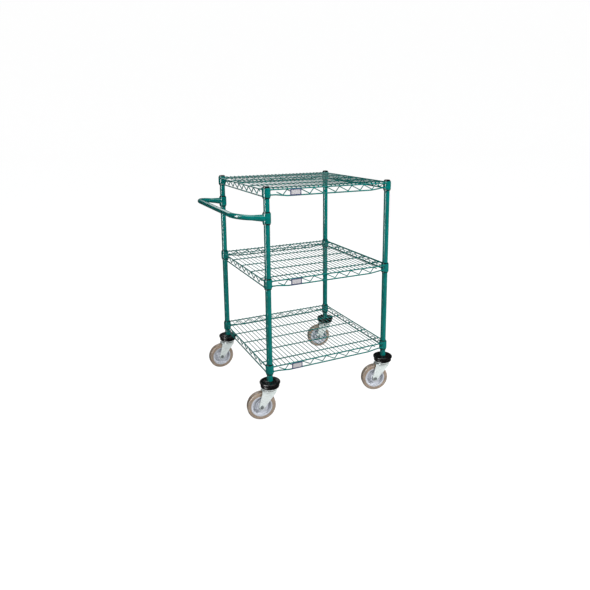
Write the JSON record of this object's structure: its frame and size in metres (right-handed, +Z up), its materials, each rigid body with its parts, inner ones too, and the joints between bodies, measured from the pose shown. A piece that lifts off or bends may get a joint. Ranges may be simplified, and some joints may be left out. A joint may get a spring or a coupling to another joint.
{
  "type": "wire shelf cart",
  "caption": "Wire shelf trolley with ringed posts, open wire shelves on tapered collars, a bent tube push handle, donut bumpers and swivel stem casters.",
  "frame": {"origin": "on the floor, midway between the four posts", "axes": "+Z up, -Y the front with the label holders, -X the side with the handle"},
  "size_m": [0.7722, 0.6742, 1.012],
  "materials": {
    "green_epoxy": "glossy powder-coated epoxy",
    "black_plastic": "satin moulded",
    "slate_plastic": "satin moulded",
    "white_card": "matte card",
    "zinc_steel": "bright zinc plate",
    "bearing_steel": "ground and oiled",
    "black_rubber": "satin rubber",
    "tan_polyurethane": "smooth slightly translucent polyurethane",
    "grey_nylon": "satin moulded nylon"
  },
  "bodies": {
    "root": {"front_left_post": "green_epoxy", "front_right_post": "green_epoxy", "rear_left_post": "green_epoxy", "rear_right_post": "green_epoxy", "post_caps": "black_plastic", "top_mat_wires": "green_epoxy", "top_cross_wires": "green_epoxy", "top_edge_rails": "green_epoxy", "top_truss_wires": "green_epoxy", "top_collars": "green_epoxy", "top_sleeves": "black_plastic", "middle_mat_wires": "green_epoxy", "middle_cross_wires": "green_epoxy", "middle_edge_rails": "green_epoxy", "middle_truss_wires": "green_epoxy", "middle_collars": "green_epoxy", "middle_sleeves": "black_plastic", "bottom_mat_wires": "green_epoxy", "bottom_cross_wires": "green_epoxy", "bottom_edge_rails": "green_epoxy", "bottom_truss_wires": "green_epoxy", "bottom_collars": "green_epoxy", "bottom_sleeves": "black_plastic", "label_holders": "slate_plastic", "label_cards": "white_card", "handle_tube": "green_epoxy", "handle_collars": "green_epoxy", "handle_sleeves": "black_plastic", "caster_stems": "zinc_steel", "stem_rings": "zinc_steel", "swivel_housings": "zinc_steel", "upper_races": "bearing_steel", "swivel_seals": "black_rubber", "swivel_balls": "bearing_steel", "bumpers": "black_rubber"},
    "front_left_caster": {"front_left_fork": "zinc_steel", "front_left_axle_bolt": "zinc_steel", "front_left_axle_spacer": "zinc_steel"},
    "front_left_wheel": {"front_left_tread": "tan_polyurethane", "front_left_wheel_core": "grey_nylon", "front_left_wheel_bearings": "bearing_steel"},
    "front_right_caster": {"front_right_fork": "zinc_steel", "front_right_axle_bolt": "zinc_steel", "front_right_axle_spacer": "zinc_steel"},
    "front_right_wheel": {"front_right_tread": "tan_polyurethane", "front_right_wheel_core": "grey_nylon", "front_right_wheel_bearings": "bearing_steel"},
    "rear_left_caster": {"rear_left_fork": "zinc_steel", "rear_left_axle_bolt": "zinc_steel", "rear_left_axle_spacer": "zinc_steel"},
    "rear_left_wheel": {"rear_left_tread": "tan_polyurethane", "rear_left_wheel_core": "grey_nylon", "rear_left_wheel_bearings": "bearing_steel"},
    "rear_right_caster": {"rear_right_fork": "zinc_steel", "rear_right_axle_bolt": "zinc_steel", "rear_right_axle_spacer": "zinc_steel"},
    "rear_right_wheel": {"rear_right_tread": "tan_polyurethane", "rear_right_wheel_core": "grey_nylon", "rear_right_wheel_bearings": "bearing_steel"}
  },
  "joints": [
    {"name": "front_left_swivel", "type": "hinge", "parent": "root", "child": "front_left_caster", "pos_m": [-0.2921, -0.2921, 0.1366], "axis": [0, 0, 1], "continuous": true},
    {"name": "front_left_wheel_spin", "type": "hinge", "parent": "front_left_caster", "child": "front_left_wheel", "pos_m": [-0.33123, -0.28378, 0.0625], "axis": [0.2079, 0.9781, 0], "continuous": true},
    {"name": "front_right_swivel", "type": "hinge", "parent": "root", "child": "front_right_caster", "pos_m": [0.2921, -0.2921, 0.1366], "axis": [0, 0, 1], "continuous": true},
    {"name": "front_right_wheel_spin", "type": "hinge", "parent": "front_right_caster", "child": "front_right_wheel", "pos_m": [0.25406, -0.27974, 0.0625], "axis": [0.309, 0.9511, 0], "continuous": true},
    {"name": "rear_left_swivel", "type": "hinge", "parent": "root", "child": "rear_left_caster", "pos_m": [-0.2921, 0.2921, 0.1366], "axis": [0, 0, 1], "continuous": true},
    {"name": "rear_left_wheel_spin", "type": "hinge", "parent": "rear_left_caster", "child": "rear_left_wheel", "pos_m": [-0.33209, 0.2928, 0.0625], "axis": [0.0175, 0.9998, 0], "continuous": true},
    {"name": "rear_right_swivel", "type": "hinge", "parent": "root", "child": "rear_right_caster", "pos_m": [0.2921, 0.2921, 0.1366], "axis": [0, 0, 1], "continuous": true},
    {"name": "rear_right_wheel_spin", "type": "hinge", "parent": "rear_right_caster", "child": "rear_right_wheel", "pos_m": [0.25365, 0.30313, 0.0625], "axis": [0.2756, 0.9613, 0], "continuous": true}
  ]
}
